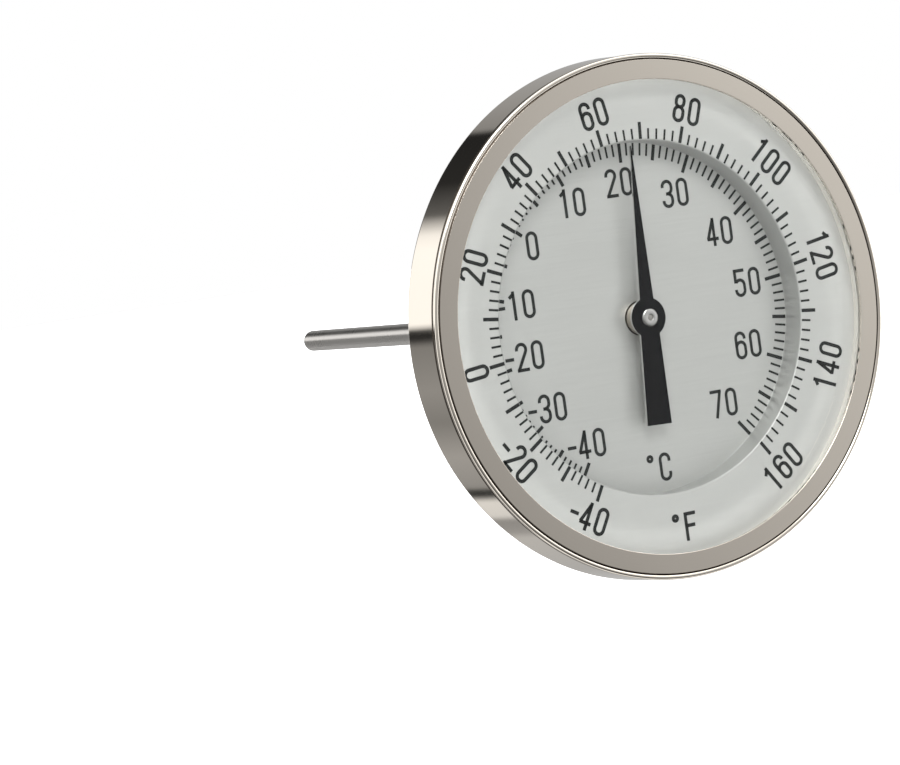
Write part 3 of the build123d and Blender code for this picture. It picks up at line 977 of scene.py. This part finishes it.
# ---- pointer and its shaft ----------------------------------------------------------------------
def meets_ring(root_half, end_half, length):
    """The angle from a blade's middle line at which its straight edge runs into the pointer's ring."""
    slope = (end_half - root_half) / length
    square = 1 + slope**2
    linear = 2 * root_half * slope
    constant = root_half**2 - POINTER_RING_RADIUS**2
    along = (-linear + math.sqrt(linear * linear - 4 * square * constant)) / (2 * square)
    return math.asin((root_half + slope * along) / POINTER_RING_RADIUS)


def looks_forward(face):
    return face.normal.y < -0.9


def make_pointer():
    """Blade, ring and balance tail stamped from one sheet, painted on its face."""
    mesh = bmesh.new()
    near, far = front("pointer"), back("pointer")
    blade_angle = meets_ring(POINTER_ROOT_WIDTH / 2, POINTER_TIP_WIDTH / 2, POINTER_REACH)
    tail_angle = meets_ring(TAIL_ROOT_WIDTH / 2, TAIL_END_WIDTH / 2, TAIL_LENGTH)
    ring_x = POINTER_RING_RADIUS * math.sin(blade_angle)
    ring_z = POINTER_RING_RADIUS * math.cos(blade_angle)
    for side in (-1, 1):
        tip = mesh.verts.new((side * POINTER_TIP_WIDTH / 2, far, POINTER_REACH))
        tail = mesh.verts.new((side * TAIL_END_WIDTH / 2, far, -TAIL_LENGTH))
        shoulder = mesh.verts.new((side * ring_x, far, ring_z))
        mesh.edges.new((tip, shoulder))
        turned = bmesh.ops.spin(
            mesh, geom=[shoulder], cent=(0, far, 0), axis=(0, 1, 0),
            angle=side * (math.pi - blade_angle - tail_angle), steps=POINTER_RING_STEPS,
            use_merge=False,
        )["geom_last"]
        hip = only(bmesh.types.BMVert, turned)[0]
        mesh.edges.new((hip, tail))
    for level in (POINTER_REACH, -TAIL_LENGTH):
        mesh.edges.new([point for point in mesh.verts if abs(point.co.z - level) < WELD])
    bmesh.ops.contextual_create(mesh, geom=mesh.edges[:])
    raised = bmesh.ops.extrude_face_region(mesh, geom=mesh.faces[:])["geom"]
    bmesh.ops.translate(mesh, verts=only(bmesh.types.BMVert, raised), vec=(0, near - far, 0))
    bmesh.ops.recalc_face_normals(mesh, faces=mesh.faces)
    top = [face for face in mesh.faces if looks_forward(face)]
    bmesh.ops.bevel(
        mesh, geom=[edge for face in top for edge in face.edges], offset=POINTER_EDGE_ROUND,
        offset_type="OFFSET", affect="EDGES", segments=2, profile=0.5, material=-1, clamp_overlap=True,
    )
    for face in mesh.faces:
        face.material_index = 0 if looks_forward(face) else 1
    bmesh.ops.rotate(
        mesh, verts=mesh.verts, cent=(0, 0, 0),
        matrix=Matrix.Rotation(math.radians(READING_ANGLE), 3, "Y"),
    )
    paints = [PAINT, METAL["blade"]]
    return finished(mesh, "pointer_blade", paints, "indicator", ("pointer",))


def make_pointer_hub():
    """The rivet that holds the pointer to its shaft: a rounded head, a barrel and a foot."""
    near, far = front("pointer_hub"), back("pointer_hub")
    blade_front, blade_back = front("pointer"), back("pointer")
    bore = reach("pointer_shaft") + SNUG
    foot = reach("pointer_hub")
    corners = [
        (bore, near, RIVET_ROUND),
        (RIVET_HEAD_RADIUS, near, RIVET_HEAD_ROUND),
        (RIVET_HEAD_RADIUS, blade_front),
        (RIVET_BARREL_RADIUS, blade_front),
        (RIVET_BARREL_RADIUS, blade_back),
        (foot, blade_back),
        (foot, far, RIVET_ROUND),
        (bore, far),
    ]
    return turned_piece(
        "pointer_rivet", "pointer_hub", corners, METAL["rivet"], "indicator", SMALL_STEPS,
    )


def make_shaft():
    near, far, radius = front("pointer_shaft"), back("pointer_shaft"), reach("pointer_shaft")
    corners = [(0, near), (radius, near, SHAFT_ROUND), (radius, far, SHAFT_ROUND), (0, far)]
    return turned_piece(
        "indicator_shaft", "pointer_shaft", corners, METAL["stem"], "indicator", SMALL_STEPS,
    )


def make_shaft_bush():
    """The flanged bearing in the front of the spigot."""
    near, far, radius = front("shaft_bush"), back("shaft_bush"), reach("shaft_bush")
    spigot_front = front("threaded_connection")
    bore = reach("pointer_shaft") + SHAFT_GAP
    barrel = reach("helix_anchor")
    corners = [
        (bore, near, BUSH_ROUNDS[0]),
        (radius, near, BUSH_ROUNDS[1]),
        (radius, spigot_front),
        (barrel, spigot_front),
        (barrel, far, BUSH_ROUNDS[2]),
        (bore, far),
    ]
    return turned_piece(
        "front_bearing", "shaft_bush", corners, METAL["bush"], "probe", SMALL_STEPS,
    )


# ---- connection and stem ------------------------------------------------------------------------
def edges_among(mesh, points):
    """The edges that have both of their ends among these points."""
    among = set(points)
    return [edge for edge in mesh.edges if among.issuperset(edge.verts)]


def add_hexagon(mesh):
    """A hexagonal bar whose rims run down in curves at the corners, as a turned chamfer leaves them."""
    face_radius = HEX_ACROSS_FLATS / 2 * HEX_WASHER_FACE
    corner = HEX_ACROSS_FLATS / 2 / math.cos(math.radians(30))
    bar = bmesh.new()
    bmesh.ops.create_circle(bar, segments=6, radius=corner, matrix=Matrix.Rotation(math.pi / 2, 4, "X"))
    bmesh.ops.subdivide_edges(bar, edges=bar.edges[:], cuts=HEX_CUTS, use_grid_fill=False)
    near_points = bar.verts[:]
    near_rim = bar.edges[:]
    made = bmesh.ops.extrude_edge_only(bar, edges=bar.edges[:])["geom"]
    far_points = only(bmesh.types.BMVert, made)
    far_rim = edges_among(bar, far_points)
    ends = ((near_points, near_rim, hex_front, 1), (far_points, far_rim, hex_back, -1))
    for points, rim, station, inward in ends:
        for point in points:
            radius = math.hypot(point.co.x, point.co.z)
            point.co.y = station + inward * (radius - face_radius) * HEX_CHAMFER_SLOPE
        chamfer = bmesh.ops.extrude_edge_only(bar, edges=rim)["geom"]
        face_points = only(bmesh.types.BMVert, chamfer)
        for point in face_points:
            shrink = face_radius / math.hypot(point.co.x, point.co.z)
            point.co = Vector((point.co.x * shrink, station, point.co.z * shrink))
        bmesh.ops.contextual_create(bar, geom=edges_among(bar, face_points))
    bmesh.ops.recalc_face_normals(bar, faces=bar.faces)
    add_copy(mesh, bar, "hexagon")


def thread_limit(station):
    """How far out the thread may reach where it starts at the free end and fades at the hexagon."""
    root = THREAD_END_RADIUS - THREAD_DEPTH
    before_end = max(0.0, -station)
    past_hexagon = max(0.0, station - hex_back - THREAD_RUNOUT / 2)
    start = THREAD_START[0] + THREAD_START[1] * before_end
    fade = THREAD_FADE[0] + THREAD_FADE[1] * past_hexagon
    return root + min(start, fade)


def add_thread(mesh):
    """The tapered pipe thread as one helical ridge, cut off square at both ends."""
    turns = int(THREAD_LENGTH / THREAD_PITCH) + 2
    screw = bmesh.new()
    line = []
    for number in range(turns + 2):
        for share, depth in THREAD_PROFILE:
            station = (number + share - turns) * THREAD_PITCH
            line.append(screw.verts.new((THREAD_END_RADIUS - depth * THREAD_DEPTH, station, 0)))
    for lower, upper in zip(line, line[1:]):
        screw.edges.new((lower, upper))
    bmesh.ops.spin(
        screw, geom=screw.verts[:] + screw.edges[:], cent=(0, 0, 0), axis=(0, 1, 0), angle=FULL_TURN,
        dvec=(0, -THREAD_PITCH / STEM_STEPS, 0), steps=STEM_STEPS, use_merge=False,
    )
    bmesh.ops.remove_doubles(screw, verts=screw.verts, dist=THREAD_WELD)
    for station, side in ((0.0, 1), (hex_back - THREAD_SINK, -1)):
        cut = bmesh.ops.bisect_plane(
            screw, geom=everything(screw), dist=CUT_WELD,
            plane_co=(0, station, 0), plane_no=(0, side, 0), clear_outer=True,
        )
        bmesh.ops.edgeloop_fill(screw, edges=only(bmesh.types.BMEdge, cut["geom_cut"]))
    for point in screw.verts:
        radius = math.hypot(point.co.x, point.co.z)
        wanted = min(radius - THREAD_TAPER * point.co.y, thread_limit(point.co.y))
        point.co.x *= wanted / radius
        point.co.z *= wanted / radius
    bmesh.ops.recalc_face_normals(screw, faces=screw.faces)
    add_copy(mesh, screw, "thread")


def make_connection():
    """Spigot, hexagon and thread."""
    near = front("threaded_connection")
    far = hex_front + SPIGOT_SINK
    mesh = bmesh.new()
    bore = reach("helix_anchor") + SNUG
    spigot = [(bore, near), (SPIGOT_RADIUS, near, SPIGOT_ROUND), (SPIGOT_RADIUS, far), (bore, far)]
    turn(mesh, spigot, SMALL_STEPS)
    add_hexagon(mesh)
    add_thread(mesh)
    return finished(
        mesh, "pipe_connection", [METAL["turned"]], "probe", ("threaded_connection",),
        THREAD_SOFT_ANGLE,
    )


def make_stem():
    """A drawn tube with a domed plug in its end."""
    near, far, radius = front("stem_tube"), back("stem_tube"), reach("stem_tube")
    bore = radius - STEM_WALL
    tube = [(bore, near), (radius, near), (radius, far), (bore, far)]
    turned_piece("stem_wall", "stem_tube", tube, METAL["stem"], "probe", STEM_STEPS)
    tip_near, tip_far = front("stem_tip"), back("stem_tip")
    plug = reach("helix_anchor")
    tip = [
        (0, tip_near),
        (plug, tip_near),
        (plug, far),
        (radius, far),
        (radius, tip_far, TIP_ROUND),
        (0, tip_far),
    ]
    turned_piece("stem_cap", "stem_tip", tip, METAL["stem"], "probe", STEM_STEPS)


def make_rings():
    seal_radius = aperture_radius + GASKET_OVERHANG
    make_ring("window_seal", "window_gasket", seal_radius, RUBBER)
    spacer_radius = aperture_radius + SPACER_SETBACK
    make_ring("spacer_ring", "window_spacer", spacer_radius, SPACER)


def make_slip_washer():
    bore = SPIGOT_RADIUS + LOOSE
    make_ring("bearing_washer", "slip_washer", bore, PTFE, "probe", WASHER_ROUND, SMALL_STEPS)


make_bezel()
make_window()
make_rings()
make_dial()
make_case()
make_case_hub()
make_fahrenheit_lines()
make_celsius_lines()
make_fahrenheit_numerals()
make_celsius_numerals()
make_pointer()
make_pointer_hub()
make_shaft()
make_shaft_bush()
make_connection()
make_stem()
make_slip_washer()

# CAD nodes that stay as they are and only take a finish.
KEPT = {
    "dial_seat_ring": METAL["turned"],
    "helix_collar": METAL["brass"],
    "helix_anchor": METAL["turned"],
    "bimetal_helix": METAL["bimetal"],
    "middle_shaft_guide": METAL["brass"],
    "lower_shaft_guide": METAL["brass"],
    "lock_nut": METAL["turned"],
    "spring_washer": METAL["spring"],
    "spigot_seal": RUBBER,
}
for node, material in KEPT.items():
    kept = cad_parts[node]
    kept.data.materials.clear()
    kept.data.materials.append(material)


# ---- stage --------------------------------------------------------------------------------------
FLOOR_COLOUR = (0.9, 0.9, 0.9, 1.0)
FLOOR_GLOW = 1.1
FLOOR_SIZE = 8.0
FLOOR_BEHIND = 0.8           # how far the floor's middle lies behind the object
FLOOR_GAP = 0.0005
KEY_PLACE = (-0.4, -1.3, 1.2)
KEY_SIZE = 1.0
KEY_POWER = 20.0


def make_floor():
    """A plain pale sheet just under the object. The steel doesn't mirror it."""
    finish = Finish(
        "floor_white", Base_Color=FLOOR_COLOUR, Roughness=0.9, Specular_IOR_Level=0.0,
        Emission_Color=FLOOR_COLOUR, Emission_Strength=FLOOR_GLOW,
    )
    mesh = bmesh.new()
    middle = Matrix.Translation((0, FLOOR_BEHIND, cad_box[0].z - FLOOR_GAP))
    bmesh.ops.create_grid(mesh, x_segments=1, y_segments=1, size=FLOOR_SIZE / 2, matrix=middle)
    data = bpy.data.meshes.new("floor")
    mesh.to_mesh(data)
    mesh.free()
    data.materials.append(finish.material)
    floor = bpy.data.objects.new("floor", data)
    bpy.context.scene.collection.objects.link(floor)
    floor.visible_glossy = False


def make_key_lamp():
    """One soft square lamp above, to the left and in front, turned to the object."""
    light = bpy.data.lights.new("key", "AREA")
    light.shape = "SQUARE"
    light.size = KEY_SIZE
    light.energy = KEY_POWER
    lamp = bpy.data.objects.new("key", light)
    aim = Vector(KEY_PLACE).to_track_quat("Z", "Y").to_matrix().to_4x4()
    lamp.matrix_world = Matrix.Translation(KEY_PLACE) @ aim
    bpy.context.scene.collection.objects.link(lamp)


# What stands round the object behind its front: degrees from straight left, minus over the top and
# plus underneath, and how bright it is there.
SURROUNDINGS = (
    (-180, 0.34), (-146, 0.29), (-116, 0.26), (-99, 0.22), (-96, 0.015), (-70, 0.02), (-55, 0.10),
    (-46, 0.9), (-40, 1.0), (-8, 1.0), (-5.5, 0.02), (-2, 0.02), (1, 0.20), (20, 0.26), (34, 0.20),
    (50, 0.32), (66, 0.26), (68, 0.02), (71, 0.03), (74, 0.66), (83, 0.60), (86, 0.24), (94, 0.28),
    (98, 0.42), (130, 0.34), (180, 0.40),
)
SURROUNDINGS_POWER = 1.5
TENT_BASE = 0.50
RIGHT_LIGHT = 0.36
FAR_RIGHT_LIGHT = 0.3
LOW_SHARE = 0.30
HIGH_SHARE = 1.4
TOP_LIGHT = 0.7
RIM_LIGHT = 1.6


def make_light_dome():
    """A soft white tent in front, brighter above and far right, and a ring of darker things behind.

    Each step grows between two values of a direction's own x, y or z.
    """
    world = bpy.data.worlds.new("studio")
    bpy.context.scene.world = world
    world.use_nodes = True
    dome = Nodes(world.node_tree)
    x, y, z = dome.axes("Generated")
    right = RIGHT_LIGHT * dome.step(x, 0.44, 0.62) + FAR_RIGHT_LIGHT * dome.step(x, 0.7, 0.95)
    height = LOW_SHARE + HIGH_SHARE * dome.step(z, -0.6, 0.6)
    rims = TOP_LIGHT * dome.step(z, 0.3, 0.75) + RIM_LIGHT * dome.step(y, -0.45, -0.2)
    before = (TENT_BASE + right) * height + rims
    around = dome.math("ARCTAN2", z * -1, x * -1) / FULL_TURN + 0.5
    stops = [(angle / 360 + 0.5, (level, level, level, 1.0)) for angle, level in SURROUNDINGS]
    behind = SURROUNDINGS_POWER * dome.node("ValToRGB", {"stops": stops}, {0: around})
    share = dome.step(y, -0.15, 0.15)
    tent = before * (1 - share) + behind * share
    seen = dome.node("LightPath", output="Is Camera Ray")
    sky = world.node_tree.nodes["Background"]
    sky.inputs["Color"].default_value = (1.0, 1.0, 1.0, 1.0)
    dome.feed(sky.inputs["Strength"], tent * (1 - seen) + seen)


# ---- camera -------------------------------------------------------------------------------------
# Degrees, and the dial's centre from the camera: to the right, up and towards the viewer.
CAMERA_TURN = 28.159
CAMERA_TILT = -1.02
CAMERA_ROLL = 8.649
DIAL_BEFORE_CAMERA = (51.546, 16.5, -756.6)
LENS = 120.0
SENSOR = 36.0


def make_camera():
    """The dial's centre stands before the lens, turned, tilted and rolled."""
    stand_up = Matrix.Rotation(-math.pi / 2, 4, "X") @ Matrix.Translation((0, -ring_front * MM, 0))
    turned = Matrix.Rotation(math.radians(CAMERA_TURN), 4, "Y")
    tilted = Matrix.Rotation(math.radians(CAMERA_TILT), 4, "X")
    rolled = Matrix.Rotation(math.radians(CAMERA_ROLL), 4, "Z")
    placed = Matrix.Translation(Vector(DIAL_BEFORE_CAMERA) * MM)
    lens = bpy.data.cameras.new("camera")
    lens.lens = LENS
    lens.sensor_width = SENSOR
    lens.sensor_fit = "HORIZONTAL"
    lens.clip_start = 0.01
    lens.clip_end = 60.0
    camera = bpy.data.objects.new("camera", lens)
    camera.matrix_world = (placed @ turned @ tilted @ rolled @ stand_up).inverted()
    bpy.context.scene.collection.objects.link(camera)
    bpy.context.scene.camera = camera


make_floor()
make_light_dome()
make_key_lamp()
make_camera()
bpy.context.scene.view_settings.view_transform = "Standard"
